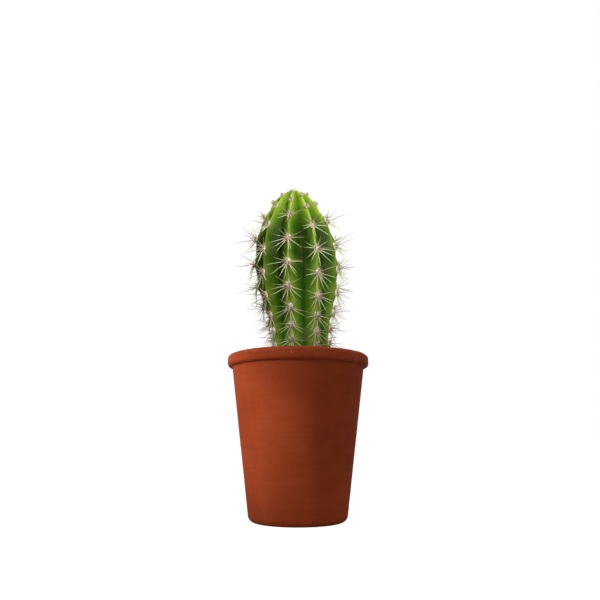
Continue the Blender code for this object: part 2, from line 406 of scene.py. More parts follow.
def terracotta():
    """Unglazed fired clay: warm blotches, fine turning streaks, pale and dark grains, lime on the lip."""
    clay = Finish("terracotta", Specular_IOR_Level=0.15)
    streaks = clay.grain(Scale=90.0, Vector=clay.stretched((0.35, 0.35, 9.0)))
    blotches = clay.mottle(Scale=38.0, Low=0.35, High=0.65)
    colour = clay.mix(blotches, srgb(148, 57, 21), srgb(159, 65, 27))
    colour = clay.mix(clay.ramp(streaks, 0.35, 0.7, 0.0, 0.28), colour, srgb(130, 49, 16))
    pale_grains = clay.specks(Scale=1500.0, Size=0.32, Share=0.35)
    colour = clay.mix(clay.times(pale_grains, 0.3), colour, srgb(182, 100, 66))
    dark_grains = clay.specks(Scale=1100.0, Size=0.3, Share=0.3)
    colour = clay.mix(clay.times(dark_grains, 0.35), colour, srgb(92, 34, 18))
    on_lip = clay.height_share(POT_HEIGHT - 1.3 * LIP_HEIGHT, POT_HEIGHT - 0.4 * LIP_HEIGHT)
    lime = clay.times(on_lip, clay.mottle(Scale=260.0, Low=0.585, High=0.67))
    colour = clay.mix(clay.times(lime, 0.3), colour, srgb(206, 158, 132))
    roughness = clay.ramp(clay.mottle(Scale=120.0, Low=0.3, High=0.7), 0.0, 1.0, 0.7, 0.9)
    height = clay.plus(clay.times(streaks, 0.6), clay.grain(Scale=1800.0))
    return clay.wear(colour, roughness, height, 0.35, 0.12 * MM)


def damp_soil():
    """Dark peaty mix with pale flecks of grit."""
    soil = Finish("damp_soil", Specular_IOR_Level=0.25)
    colour = soil.mix(soil.mottle(Scale=500.0, Low=0.35, High=0.65), srgb(40, 28, 20), srgb(78, 58, 42))
    flecks = soil.specks(Scale=1300.0, Size=0.3, Share=0.3)
    colour = soil.mix(soil.times(flecks, 0.6), colour, srgb(128, 106, 82))
    roughness = soil.ramp(soil.mottle(Scale=260.0), 0.0, 1.0, 0.8, 1.0)
    return soil.wear(colour, roughness, soil.grain(Scale=1500.0), 0.8, 0.3 * MM)


def mineral_grit():
    """Pale tan and grey grit, each grain a shade of its own."""
    grit = Finish("mineral_grit", Specular_IOR_Level=0.35)
    colour = grit.mix(grit.layer("tone"), srgb(92, 78, 64), srgb(168, 156, 138))
    colour = grit.mix(grit.times(grit.mottle(Scale=900.0), 0.5), colour, srgb(120, 88, 62))
    roughness = grit.ramp(grit.mottle(Scale=600.0), 0.0, 1.0, 0.6, 0.85)
    return grit.wear(colour, roughness, grit.grain(Scale=2600.0), 0.5, 0.1 * MM)


def green_skin():
    """Waxy skin: painted shade darkening the furrows, paler crests, a yellow-green crown and a dull foot.
    """
    skin = Finish(
        "green_skin", Specular_IOR_Level=0.07, Subsurface_Weight=0.12, Subsurface_Scale=1.0,
        Subsurface_Radius=(1.2 * MM, 1.8 * MM, 0.5 * MM),
    )
    crest = skin.layer("crest")
    # Painted shade: each run of colour below darkens towards the furrows, where crest is 0, as shade in
    # the recesses between the ribs.
    middle = skin.colours(
        crest,
        (0.0, srgb(1, 34, 0)),
        (0.56, srgb(4, 52, 0)),
        (0.8, srgb(36, 92, 0)),
        (0.92, srgb(80, 118, 10)),
        (1.0, srgb(112, 136, 32)),
    )
    # The crown's yellow-green, with painted shade in its furrows.
    crown = skin.colours(
        crest,
        (0.0, srgb(70, 118, 0)),
        (0.5, srgb(112, 154, 8)),
        (0.8, srgb(156, 186, 36)),
        (1.0, srgb(182, 202, 76)),
    )
    # The foot's duller green, with less dark painted shade in its shallow furrows.
    foot = skin.colours(
        crest,
        (0.0, srgb(10, 62, 0)),
        (0.4, srgb(58, 108, 4)),
        (0.75, srgb(106, 140, 20)),
        (1.0, srgb(142, 152, 50)),
    )
    colour = skin.mix(skin.height_share(156 * MM, 190 * MM), middle, crown)
    colour = skin.mix(skin.height_share(148 * MM, 108 * MM), colour, foot)
    blotches = skin.mottle(Scale=150.0, Low=0.3, High=0.7)
    colour = skin.mix(skin.times(blotches, 0.18), colour, srgb(104, 118, 22))
    tan = skin.times(skin.ramp(crest, 0.6, 0.95), skin.mottle(Scale=190.0, Low=0.4, High=0.62))
    tan = skin.times(tan, skin.height_share(170 * MM, 140 * MM))
    colour = skin.mix(skin.times(tan, 0.3), colour, srgb(118, 114, 30))
    edge = skin.plus(crest, skin.times(skin.mottle(Scale=420.0, Low=0.2, High=0.8), 0.05))
    ribbon = skin.plus(skin.height_share(135 * MM, 175 * MM), skin.mottle(Scale=160.0))
    crest_line = skin.times(skin.ramp(edge, 0.93, 1.0), skin.ramp(ribbon, 0.0, 2.0, 0.15, 0.95))
    colour = skin.mix(crest_line, colour, srgb(154, 176, 94))
    pores = skin.specks(Scale=1400.0, Size=0.3, Share=0.4)
    colour = skin.mix(skin.times(pores, 0.2), colour, srgb(148, 182, 60))
    old = skin.times(skin.height_share(112 * MM, 84 * MM), skin.mottle(Scale=240.0, Low=0.5, High=0.68))
    colour = skin.mix(skin.times(old, 0.5), colour, srgb(120, 104, 62))
    around = skin.times(skin.layer("areole"), 0.4)
    colour = skin.mix(around, colour, srgb(146, 154, 70))
    roughness = skin.ramp(skin.mottle(Scale=300.0), 0.0, 1.0, 0.48, 0.66)
    height = skin.plus(skin.grain(Scale=1500.0), skin.mottle(Scale=420.0, Low=0.2, High=0.8))
    return skin.wear(colour, roughness, height, 0.25, 0.12 * MM)


def areole_felt():
    """Short matted wool, cream to pinkish grey, with dark reddish brown roots where spines stand."""
    felt = Finish("areole_felt", Sheen_Weight=0.3, Sheen_Roughness=0.6, Specular_IOR_Level=0.1)
    colour = felt.mix(felt.layer("tone"), srgb(206, 180, 136), srgb(252, 246, 226))
    colour = felt.mix(felt.times(felt.mottle(Scale=700.0), 0.35), colour, srgb(206, 170, 146))
    upper_part = felt.ramp(felt.layer("along"), 0.3, 0.7)
    roots = felt.specks(Scale=1000.0, Size=0.42, Share=0.6)
    colour = felt.mix(felt.times(upper_part, roots), colour, srgb(70, 32, 26))
    roughness = felt.ramp(felt.mottle(Scale=900.0), 0.0, 1.0, 0.85, 1.0)
    return felt.wear(colour, roughness, felt.grain(Scale=3500.0), 0.9, 0.25 * MM)


def wool_hair():
    """Cream wool, paler towards the tips of its hairs."""
    hair = Finish("wool_hair", Sheen_Weight=0.2, Specular_IOR_Level=0.2)
    colour = hair.mix(hair.layer("tone"), srgb(206, 190, 160), srgb(248, 242, 222))
    colour = hair.mix(hair.ramp(hair.layer("along"), 0.5, 1.0, 0.0, 0.5), colour, srgb(240, 234, 208))
    roughness = hair.ramp(hair.mottle(Scale=900.0), 0.0, 1.0, 0.75, 0.95)
    return hair.wear(colour, roughness, hair.grain(Scale=4000.0), 0.3, 0.05 * MM)


def pale_spine():
    """Creamy, slightly green spines with a brown foot and a tan tip, each a shade of its own."""
    spine = Finish("pale_spine", Specular_IOR_Level=0.45)
    along = spine.layer("along")
    fresh = spine.colours(
        along,
        (0.0, srgb(104, 56, 42)),
        (0.08, srgb(168, 124, 90)),
        (0.14, srgb(242, 242, 196)),
        (0.65, srgb(240, 246, 190)),
        (1.0, srgb(216, 202, 134)),
    )
    dull = spine.colours(
        along,
        (0.0, srgb(88, 50, 40)),
        (0.14, srgb(170, 158, 112)),
        (0.7, srgb(176, 164, 118)),
        (1.0, srgb(128, 98, 70)),
    )
    colour = spine.mix(spine.layer("tone"), fresh, dull)
    colour = spine.mix(spine.times(spine.mottle(Scale=800.0), 0.25), colour, srgb(176, 182, 128))
    roughness = spine.ramp(spine.mottle(Scale=900.0), 0.0, 1.0, 0.4, 0.6)
    return spine.wear(colour, roughness, spine.grain(Scale=3500.0), 0.25, 0.05 * MM)


def dark_spine():
    """Stiff middle spines, greyish brown with darker tips, each a shade of its own."""
    spine = Finish("dark_spine", Specular_IOR_Level=0.45)
    along = spine.layer("along")
    brown = spine.colours(
        along,
        (0.0, srgb(134, 98, 72)),
        (0.15, srgb(122, 80, 58)),
        (0.7, srgb(98, 60, 44)),
        (1.0, srgb(52, 32, 26)),
    )
    grey = spine.colours(
        along,
        (0.0, srgb(150, 132, 112)),
        (0.2, srgb(150, 138, 120)),
        (0.75, srgb(118, 100, 84)),
        (1.0, srgb(62, 46, 38)),
    )
    colour = spine.mix(spine.layer("tone"), brown, grey)
    colour = spine.mix(spine.times(spine.mottle(Scale=700.0), 0.3), colour, srgb(132, 112, 92))
    roughness = spine.ramp(spine.mottle(Scale=900.0), 0.0, 1.0, 0.4, 0.6)
    return spine.wear(colour, roughness, spine.grain(Scale=3500.0), 0.25, 0.05 * MM)


# ---------------------------------------------------------------- the pot


def arc(centre_x, centre_z, radius, start, end, steps):
    """Points of a round stretch of a section, between two angles in degrees."""
    angles = np.radians(np.linspace(start, end, steps + 1))
    return [(centre_x + radius * math.cos(a), centre_z + radius * math.sin(a)) for a in angles]


def wall_radius(height):
    share = (height - FOOT_ROUND) / (POT_HEIGHT - LIP_HEIGHT - FOOT_ROUND)
    return FOOT_RADIUS + (RIM_RADIUS - LIP_PROUD - FOOT_RADIUS) * share


def inner_radius(height):
    return wall_radius(height) - WALL


def turning(height, seed):
    """How far a wall stands in or out at a height, from the marks of turning."""
    wide = noise.noise(Vector((seed, 0.0, height / (3.1 * MM))))
    narrow = noise.noise(Vector((0.0, seed, height / (0.9 * MM))))
    return TURNING_DEPTH * (0.7 * wide + 0.5 * narrow)


def straight(bottom, top, radius_at, seed):
    """A wall's stretch of a section, from its top down, with its turning marks fading out at both ends."""
    heights = np.linspace(top, bottom, int((top - bottom) / RING_PITCH))
    fade = np.clip(np.minimum(heights - bottom, top - heights) / (2 * MM), 0.0, 1.0)
    return [(radius_at(h) + f * turning(h, seed), h) for h, f in zip(heights, fade)]


def pot_section():
    """The closed section: over the lip, down the outside, under the foot, up the hole and the inside."""
    lip_base = POT_HEIGHT - LIP_HEIGHT
    lip_inner = inner_radius(POT_HEIGHT)
    under_lip = lip_base - LIP_FILLET
    floor_edge = inner_radius(FLOOR + FLOOR_FILLET) - FLOOR_FILLET
    hole_edge = DRAIN_RADIUS + HOLE_ROUND
    flat_steps = 6
    foot_flat = np.linspace(FOOT_RADIUS - FOOT_ROUND, hole_edge, flat_steps)[1:]
    floor_flat = np.linspace(hole_edge, floor_edge, flat_steps)[:-1]
    inner_wall = straight(FLOOR + FLOOR_FILLET, POT_HEIGHT - LIP_INNER_ROUND, inner_radius, 5.0)
    return [
        *arc(lip_inner + LIP_INNER_ROUND, POT_HEIGHT - LIP_INNER_ROUND, LIP_INNER_ROUND, 175, 90, 7),
        *arc(RIM_RADIUS - LIP_TOP_ROUND, POT_HEIGHT - LIP_TOP_ROUND, LIP_TOP_ROUND, 90, 0, 12),
        *arc(RIM_RADIUS - LIP_UNDER_ROUND, lip_base + LIP_UNDER_ROUND, LIP_UNDER_ROUND, 0, -85, 8),
        *arc(wall_radius(under_lip) + LIP_FILLET, under_lip, LIP_FILLET, 95, 180, 5),
        *straight(FOOT_ROUND, under_lip - RING_PITCH, wall_radius, 2.0),
        *arc(FOOT_RADIUS - FOOT_ROUND, FOOT_ROUND, FOOT_ROUND, -5, -90, 10),
        *[(x, 0.0) for x in foot_flat],
        *arc(hole_edge, HOLE_ROUND, HOLE_ROUND, 255, 180, 3),
        *arc(hole_edge, FLOOR - HOLE_ROUND, HOLE_ROUND, 180, 90, 4),
        *[(x, FLOOR) for x in floor_flat],
        *arc(floor_edge, FLOOR + FLOOR_FILLET, FLOOR_FILLET, -90, -5, 6),
        *inner_wall[::-1],
    ]


def chip(points, centre, size, depth):
    """Presses a small dent into the points near a place, towards the pot's middle and down."""
    away = np.linalg.norm(points - centre, axis=1)
    inward = np.array((-centre[0], -centre[1], -0.5 * RIM_RADIUS))
    inward /= np.linalg.norm(inward)
    return points + np.outer(depth * np.exp(-((away / size) ** 2)), inward)


def make_pot():
    """The turned pot, slightly out of round, with a few worn places on its lip."""
    pot = spun("clay_pot", pot_section(), POT_STEPS)
    points = places_of(pot)
    around = np.arctan2(points[:, 1], points[:, 0])
    warp = 0.12 * MM * np.sin(2 * around + 0.6) + 0.07 * MM * np.sin(3 * around + 2.0)
    radius = np.hypot(points[:, 0], points[:, 1])
    lift = np.clip(points[:, 2] / POT_HEIGHT, 0.0, 1.0)
    points[:, :2] *= (1 + lift * warp / np.maximum(radius, MM))[:, None]
    draw = random.Random(4)
    for _ in range(WORN_PLACES):
        angle = draw.uniform(0.0, math.tau)
        height = POT_HEIGHT - draw.choice((0.3, 0.8, 5.6)) * MM
        reach = RIM_RADIUS - (0.8 * MM if height > POT_HEIGHT - 1.0 * MM else 0.2 * MM)
        centre = np.array((reach * math.cos(angle), reach * math.sin(angle), height))
        points = chip(points, centre, draw.uniform(0.6, 1.5) * MM, draw.uniform(0.08, 0.28) * MM)
    points[:, 2] = np.maximum(points[:, 2], 0.0)
    set_places(pot, points)
    smooth(pot, 60.0)
    return finish_piece(pot, "terracotta", terracotta(), "pot")


# ---------------------------------------------------------------- the stem


def smooth_curve(points, share):
    """Catmull-Rom curve through evenly spaced points, at a share from 0 to 1 of its length in points."""
    points = np.array(points, float)
    padded = np.vstack([2 * points[0] - points[1], points, 2 * points[-1] - points[-2]])
    place = min(max(share, 0.0), 1.0) * (len(points) - 1)
    i = min(int(place), len(points) - 2)
    t = place - i
    a, b, c, d = padded[i : i + 4]
    bend = (2 * a - 5 * b + 4 * c - d) * t**2 + (3 * b - a - 3 * c + d) * t**3
    return 0.5 * (2 * b + (c - a) * t + bend)


SHARES = np.linspace(0.0, 1.0, 1200)
STATIONS = np.array([smooth_curve(STEM_OUTLINE, share) for share in SHARES]) * MM


def crest_radius(height):
    return np.interp(height, STATIONS[::-1, 0], STATIONS[::-1, 1])


def furrow_depth(height):
    heights, depths = np.array(FURROWS).T * MM
    return np.interp(height, heights, depths)


def facing(angle, height):
    """Where a direction round the stem points: the front ribs spread low down and crowd higher up."""
    turned_by = angle + RIB_PHASE
    spread = np.where(height > LEAN_FROM, SPREAD_PER_METRE * (height - SPREAD_LEVEL), 0.0)
    return turned_by + spread * np.sin(turned_by - SPREAD_FACING)


def on_stem(angle, height, radius):
    """Points of the leaning stem, from directions, heights and radii."""
    turned_to = facing(angle, height)
    middle = LEAN_PER_METRE * (np.maximum(height, LEAN_FROM) - LEAN_CENTRE)
    return np.stack([middle + radius * np.sin(turned_to), -radius * np.cos(turned_to), height], axis=-1)


def areole_heights(rib):
    places = np.arange(1, len(RUNGS)) - RUNG_SHIFTS[rib]
    return np.interp(places, np.arange(len(RUNGS)), RUNGS) * MM


def rib_angle(rib):
    return math.tau * rib / RIBS


def nearest_areole(angle, height, radius):
    """For each point of the skin, how close it is to an areole and to the notch above one, from 0 to 1."""
    close = np.zeros(len(height))
    notch = np.zeros(len(height))
    for rib in range(RIBS):
        aside = (angle - rib_angle(rib) + math.pi) % math.tau - math.pi
        across = (aside * radius / SWELL_WIDTH) ** 2
        for level in areole_heights(rib):
            along = height - level
            close = np.maximum(close, np.exp(-(across + (along / SWELL_LENGTH) ** 2) / 2))
            cut = ((along - NOTCH_ABOVE) / (0.5 * SWELL_LENGTH)) ** 2
            notch = np.maximum(notch, np.exp(-(across / 3 + cut) / 2))
    return close, notch


def make_stem():
    """The skin: a sphere's net over the outline, furrowed between crests and swollen at the areoles."""
    deselect_all()
    bpy.ops.mesh.primitive_uv_sphere_add(segments=SKIN_SEGMENTS, ring_count=SKIN_RINGS, radius=1.0)
    stem = named("cactus_skin")
    net = places_of(stem)
    angle = np.arctan2(net[:, 0], -net[:, 1])
    share = np.arccos(np.clip(net[:, 2], -1.0, 1.0)) / math.pi
    height = np.interp(share, SHARES, STATIONS[:, 0])
    radius = np.maximum(np.interp(share, SHARES, STATIONS[:, 1]), 0.0)
    from_crest = np.abs((angle / math.tau * RIBS + 0.5) % 1.0 - 0.5) * 2
    close, notch = nearest_areole(angle, height, radius)
    young = np.clip((height - SMOOTH_FROM) / SMOOTH_OVER, 0.0, 1.0)
    flank = from_crest**CREST_POWER
    flank *= 1 + CREST_POWER / VALLEY_POWER * (1 - from_crest**VALLEY_POWER)
    depth = np.minimum(furrow_depth(height), 0.5 * radius) * flank
    bumps = (1 - young) * (SWELL * (close - 0.6) * (from_crest < 0.7) - NOTCH * notch)
    above_soil = np.clip((height - ROUGH_FROM) / ROUGH_OVER, 0.0, 1.0)
    plain = on_stem(angle, height, radius)
    ripple = 0.16 * MM * rough(plain, 9 * MM, 1.0) + 0.05 * MM * rough(plain, 2.4 * MM, 2.0)
    grown = np.maximum(radius - depth + above_soil * (bumps + ripple), 0.0)
    points = on_stem(angle, height, np.where(radius < 0.01 * MM, 0.0, grown))
    set_places(stem, points)
    # crest runs from 0 in the furrows to 1 on the crests; the skin darkens with it towards the furrows as
    # painted shade.
    write_layer(stem, "crest", 1 - from_crest)
    write_layer(stem, "areole", close)
    smooth(stem, 180.0)
    return finish_piece(stem, "green_skin", green_skin(), "stem")


# ---------------------------------------------------------------- areoles and spines


def areole_frame(rib, height):
    """The areole's place on its swollen crest: X to the side, Y up the rib, Z straight out of the skin."""
    angle = rib_angle(rib)
    step = 1.2 * MM
    levels = (height + step, height - step, height)
    above, below, here = (Vector(on_stem(angle, level, crest_radius(level))) for level in levels)
    up = (above - below).normalized()
    turned_to = float(facing(angle, height))
    side = Vector((math.cos(turned_to), math.sin(turned_to), 0.0))
    side = (side - side.dot(up) * up).normalized()
    out = side.cross(up)
    frame_here = Matrix((side, up, out)).transposed().to_4x4()
    frame_here.translation = here + out * 0.25 * SWELL
    return frame_here


def spine_pattern():
    """One straight spine of unit length and radius: a swollen foot, then a long taper to a fine tip."""
    deselect_all()
    bpy.ops.mesh.primitive_cylinder_add(vertices=6, radius=1.0, depth=1.0, location=(0, 0, 0.5))
    spine = named("spine_pattern")
    bpy.ops.object.transform_apply(location=True)
    edit_all(spine)
    for level in (0.04, 0.12, 0.35, 0.6, 0.82):
        bpy.ops.mesh.select_all(action="SELECT")
        bpy.ops.mesh.bisect(plane_co=(0, 0, level), plane_no=(0, 0, 1))
    bpy.ops.object.mode_set(mode="OBJECT")
    points = places_of(spine)
    along = points[:, 2]
    shares = (0.0, 0.04, 0.12, 0.35, 0.6, 0.82, 1.0)
    widths = np.interp(along, shares, (1.3, 1.3, 1.0, 0.85, 0.62, 0.36, 0.04))
    set_places(spine, points * np.stack([widths, widths, np.ones(len(along))], axis=1))
    write_layer(spine, "along", along)
    write_layer(spine, "tone", 0.0)
    smooth(spine, 80.0)
    return spine


def hair_pattern():
    """One hair of the wool: three-sided, of unit length and radius."""
    deselect_all()
    bpy.ops.mesh.primitive_cylinder_add(vertices=3, radius=1.0, depth=1.0, location=(0, 0, 0.5))
    hair = named("hair_pattern")
    bpy.ops.object.transform_apply(location=True)
    edit_all(hair)
    for level in (0.35, 0.7):
        bpy.ops.mesh.select_all(action="SELECT")
        bpy.ops.mesh.bisect(plane_co=(0, 0, level), plane_no=(0, 0, 1))
    bpy.ops.object.mode_set(mode="OBJECT")
    points = places_of(hair)
    widths = np.interp(points[:, 2], (0.0, 0.7, 1.0), (1.0, 0.7, 0.15))
    set_places(hair, points * np.stack([widths, widths, np.ones(len(points))], axis=1))
    write_layer(hair, "along", points[:, 2])
    write_layer(hair, "tone", 0.0)
    smooth(hair, 80.0)
    return hair


def pad_pattern():
    """The felt pad: a low dome with a lumpy top."""
    deselect_all()
    bpy.ops.mesh.primitive_ico_sphere_add(subdivisions=3, radius=1.0)
    pad = named("pad_pattern")
    points = places_of(pad)
    lumps = 1 + 0.16 * rough(points, 0.45, 3.0)
    points *= lumps[:, None]
    points[:, 2] = np.where(points[:, 2] < 0, 0.45 * points[:, 2], 0.8 * points[:, 2])
    set_places(pad, points)
    write_layer(pad, "tone", 0.0)
    write_layer(pad, "along", 0.5 + 0.5 * points[:, 1])
    smooth(pad, 180.0)
    return pad


def aimed(points, length, radius, direction, bend):
    """A unit spine's points at its length and radius, along a direction, bending a little sideways."""
    turn = Vector((0, 0, 1)).rotation_difference(Vector(direction).normalized()).to_matrix()
    bent = points * (radius, radius, length)
    bent[:, 0] += bend[0] * length * points[:, 2] ** 2
    bent[:, 1] += bend[1] * length * points[:, 2] ** 2
    return bent @ np.array(turn).T


def in_frame(points, frame_here):
    matrix = np.array(frame_here)
    return points @ matrix[:3, :3].T + matrix[:3, 3]


def maturity(height):
    """From 0 for an areole just born at the crown to 1 for a full-grown one."""
    return min(max((JUST_BORN_ABOVE - height) / (JUST_BORN_ABOVE - FULL_GROWN_BELOW), 0.0), 1.0)


def age(height):
    """From 0 up the stem to 1 for the oldest areoles, by the soil."""
    return min(max((OLD_BELOW - height) / (OLD_BELOW - 84 * MM), 0.0), 1.0)


def spine_share(height, start, span):
    """How much of its full length a spine has, starting at one maturity and growing over a span of it."""
    return 0.14 + 0.86 * min(max((maturity(height) - start) / span, 0.0), 1.0)


def pad_size(height):
    grown = maturity(height)
    return (0.75 + 1.0 * grown**0.6) * (1 - 0.15 * age(height)) * MM


def radial_spines(frame_here, height, pattern, draw):
    """The spread spines of one areole: mostly to the sides and down, erect and short on a young one."""
    grown = maturity(height)
    unit = places_of(pattern)
    size = pad_size(height)
    made = []
    for from_down, full in RADIAL_SPINES:
        for hand in (-1, 1):
            if from_down == 0 and hand == 1:
                continue
            upper = from_down > 90
            if draw.random() > 0.55 + 0.45 * grown or (from_down > 115 and draw.random() < 0.3):
                continue
            around = math.radians(hand * from_down + draw.gauss(0.0, 6.0))
            lift = abs(draw.gauss(0.0, 20.0)) if upper else abs(draw.gauss(0.0, 7.0))
            tilt = math.radians(min(16.0 + 45.0 * (1 - grown) ** 1.3 + lift, 75.0))
            grown_length = full * MM * spine_share(height, 0.45, 0.32) * (1 - 0.3 * age(height))
            length = grown_length * draw.uniform(0.82, 1.12)
            aim = (math.cos(tilt) * math.sin(around), -math.cos(tilt) * math.cos(around), math.sin(tilt))
            foot = Vector((0.55 * size * math.sin(around), -0.8 * size * math.cos(around), 0.35 * size))
            bend = (draw.gauss(0.0, 0.035), draw.gauss(0.0, 0.035))
            radius = RADIAL_RADIUS * (0.7 + 0.3 * grown) * draw.uniform(0.85, 1.15)
            radius *= (0.75 if upper else 1.0) * (1 - 0.25 * age(height))
            points = aimed(unit, length, radius, aim, bend) + np.array(foot)
            dull = 0.5 * upper + 0.5 * age(height) + 0.6 * (1 - grown)
            tone = min(max(0.1 + dull + draw.gauss(0.0, 0.15), 0.0), 1.0)
            made.append(copy_of(pattern, in_frame(points, frame_here), tone=tone))
    return made


def central_spines(frame_here, height, pattern, draw):
    """Three to five stiff dark spines standing out of the middle of the areole, the first one longest."""
    grown = maturity(height)
    grown_length = CENTRAL_LENGTH * spine_share(height, 0.38, 0.3) * (1 - 0.25 * age(height))
    unit = places_of(pattern)
    size = pad_size(height)
    made = []
    count = draw.choice((3, 4, 4, 5))
    start = draw.uniform(0.0, math.tau)
    for place in range(count):
        around = start + math.tau * place / count + draw.gauss(0.0, 0.25)
        tilt = math.radians(draw.uniform(64.0, 86.0) if place == 0 else draw.uniform(38.0, 74.0))
        share = 1.0 if place == 0 else draw.uniform(0.5, 0.85)
        length = grown_length * share * draw.uniform(0.85, 1.15)
        aim = (math.cos(tilt) * math.sin(around), math.cos(tilt) * math.cos(around), math.sin(tilt))
        foot = Vector((0.3 * size * math.sin(around), 0.3 * size * math.cos(around), 0.5 * size))
        bend = (draw.gauss(0.0, 0.03), draw.gauss(0.0, 0.03))
        radius = CENTRAL_RADIUS * (0.7 + 0.3 * grown) * draw.uniform(0.85, 1.1)
        points = aimed(unit, length, radius, aim, bend) + np.array(foot)
        tone = draw.random() ** 1.5
        made.append(copy_of(pattern, in_frame(points, frame_here), tone=tone))
    return made


def felt_pad(frame_here, height, pattern, draw):
    size = pad_size(height)
    stretch = draw.uniform(1.2, 1.45)
    points = places_of(pattern) * (size, stretch * size, 0.6 * size)
    spin = Matrix.Rotation(draw.gauss(0.0, 0.2), 4, "Z")
    tone = draw.uniform(0.5, 1.0) * maturity(height)
    return copy_of(pattern, in_frame(in_frame(points, spin), frame_here), tone=tone)


def wool_tuft(frame_here, height, pattern, draw, count=90):
    """Short curved hairs all over a pad, standing out most round its edge."""
    unit = places_of(pattern)
    size = pad_size(height)
    made = []
    for _ in range(count):
        around = draw.uniform(0.0, math.tau)
        out = math.sqrt(draw.random())
        foot = np.array((0.9 * size * out * math.cos(around), 1.15 * size * out * math.sin(around), 0.0))
        foot[2] = 0.4 * size * math.sqrt(max(1 - out * out, 0.0))
        lean = 0.25 + 1.1 * out
        aim = (
            math.cos(around) * lean + draw.gauss(0.0, 0.35),
            math.sin(around) * lean + draw.gauss(0.0, 0.35),
            1.0,
        )
        length = draw.uniform(0.7, 1.7) * MM * (0.7 + 0.4 * maturity(height))
        bend = (draw.gauss(0.0, 0.35), draw.gauss(0.0, 0.35))
        points = aimed(unit, length, 0.055 * MM, aim, bend) + foot
        made.append(copy_of(pattern, in_frame(points, frame_here), tone=draw.random()))
    return made


def make_areoles(patterns, finishes):
    """Each rib's felt pads, wool, spread spines and middle spines, one piece of each kind to a rib."""
    for rib in range(RIBS):
        draw = random.Random(100 + rib)
        pads, wool, radial, central = [], [], [], []
        for level in areole_heights(rib):
            frame_here = areole_frame(rib, level)
            pads.append(felt_pad(frame_here, level, patterns["pad"], draw))
            wool += wool_tuft(frame_here, level, patterns["hair"], draw)
            radial += radial_spines(frame_here, level, patterns["spine"], draw)
            central += central_spines(frame_here, level, patterns["spine"], draw)
        number = rib + 1
        node = f"spines_rib_{number}"
        finish_piece(join(pads, f"felt_pads_{number}"), "young_wool", finishes["felt"])
        finish_piece(join(wool, f"areole_wool_{number}"), "young_wool", finishes["hair"])
        finish_piece(join(central, f"middle_spines_{number}"), "spine", finishes["dark"], node)
        finish_piece(join(radial, f"spread_spines_{number}"), "spine", finishes["pale"], node)


def make_crown(patterns, finishes):
    """The growing tip: a small woolly cushion with a tuft of short new spines."""
    draw = random.Random(77)
    tip = STEM_OUTLINE[0][0] * MM
    frame_here = Matrix.Translation(Vector(on_stem(0.0, tip, 0.0)) - Vector((0.0, 0.0, 0.3 * MM)))
    spine, hair = places_of(patterns["spine"]), places_of(patterns["hair"])
    bristles = []
    for _ in range(34):
        around = draw.uniform(0.0, math.tau)
        out = math.sqrt(draw.random())
        aside = np.array((math.cos(around), math.sin(around), 0.0))
        aim = (0.15 + 0.8 * out) * aside + (0, 0, 1)
        length = draw.uniform(1.0, 2.4) * MM
        bend = (draw.gauss(0, 0.08), draw.gauss(0, 0.08))
        foot = 2.4 * MM * out * aside + (0, 0, 0.2 * MM)
        points = aimed(spine, length, 0.11 * MM, aim, bend) + foot
        tone = draw.uniform(0.2, 0.9)
        bristles.append(copy_of(patterns["spine"], in_frame(points, frame_here), tone=tone))
    pad = places_of(patterns["pad"]) * (2.5 * MM, 2.5 * MM, 1.0 * MM)
    pad = copy_of(patterns["pad"], in_frame(pad, frame_here), tone=0.6)
    hairs = []
    for _ in range(120):
        around = draw.uniform(0.0, math.tau)
        out = math.sqrt(draw.random())
        aside = np.array((math.cos(around), math.sin(around), 0.0))
        aim = out * aside + (draw.gauss(0, 0.3), draw.gauss(0, 0.3), 1.0)
        length = draw.uniform(0.5, 1.2) * MM
        foot = 2.6 * MM * out * aside + (0, 0, 0.3 * MM)
        points = aimed(hair, length, 0.045 * MM, aim, (0.2, 0.1)) + foot
        hairs.append(copy_of(patterns["hair"], in_frame(points, frame_here), tone=draw.random()))
    finish_piece(join([pad], "crown_felt"), "young_wool", finishes["felt"])
    finish_piece(join(hairs, "crown_wool"), "young_wool", finishes["hair"])
    finish_piece(join(bristles, "crown_bristles"), "young_wool", finishes["pale"], "crown_spines")


# ---------------------------------------------------------------- the soil


def soil_height(radius):
    """The soil's level at a distance from the stem's foot."""
    rise = np.clip(1 - (radius - STEM_FOOT) / SOIL_SLOPE, 0.0, 1.0)
    return SOIL_EDGE_HEIGHT + rise * (SOIL_MIDDLE_HEIGHT - SOIL_EDGE_HEIGHT)


def make_soil(stem, finish):
    """The plug of potting mix with a lumpy top, cut out round the stem's foot."""
    inner = inner_radius(SOIL_EDGE_HEIGHT) - 0.5 * GAP
    floor_edge = inner_radius(FLOOR + FLOOR_FILLET) - FLOOR_FILLET - GAP
    base = FLOOR + GAP
    top = [(r, float(soil_height(r))) for r in np.linspace(0.0, inner, 60)]
    section = [
        *top,
        *arc(floor_edge, base + FLOOR_FILLET, FLOOR_FILLET, 0, -90, 4),
        (0.0, base),
    ]
    soil = spun("soil_plug", section, 140)
    points = places_of(soil)
    is_top = points[:, 2] > SOIL_EDGE_HEIGHT - 0.5 * MM
    reach = np.hypot(points[:, 0], points[:, 1])
    inside = np.clip((inner - reach) / (1.5 * MM), 0.0, 1.0)
    lumps = 0.8 * MM * rough(points, 4.5 * MM, 6.0) + 0.45 * MM * rough(points, 1.6 * MM, 7.0)
    points[:, 2] += np.where(is_top, lumps * (0.4 + 0.6 * inside) - 0.3 * MM, 0.0)
    set_places(soil, points)
    socket = copy_of(stem, places_of(stem))
    cut = soil.modifiers.new("socket", "BOOLEAN")
    cut.operation = "DIFFERENCE"
    cut.object = socket
    apply_modifier(soil, cut)
    bpy.data.objects.remove(socket)
    smooth(soil, 60.0)
    return finish_piece(soil, "soil", finish, "potting_soil")


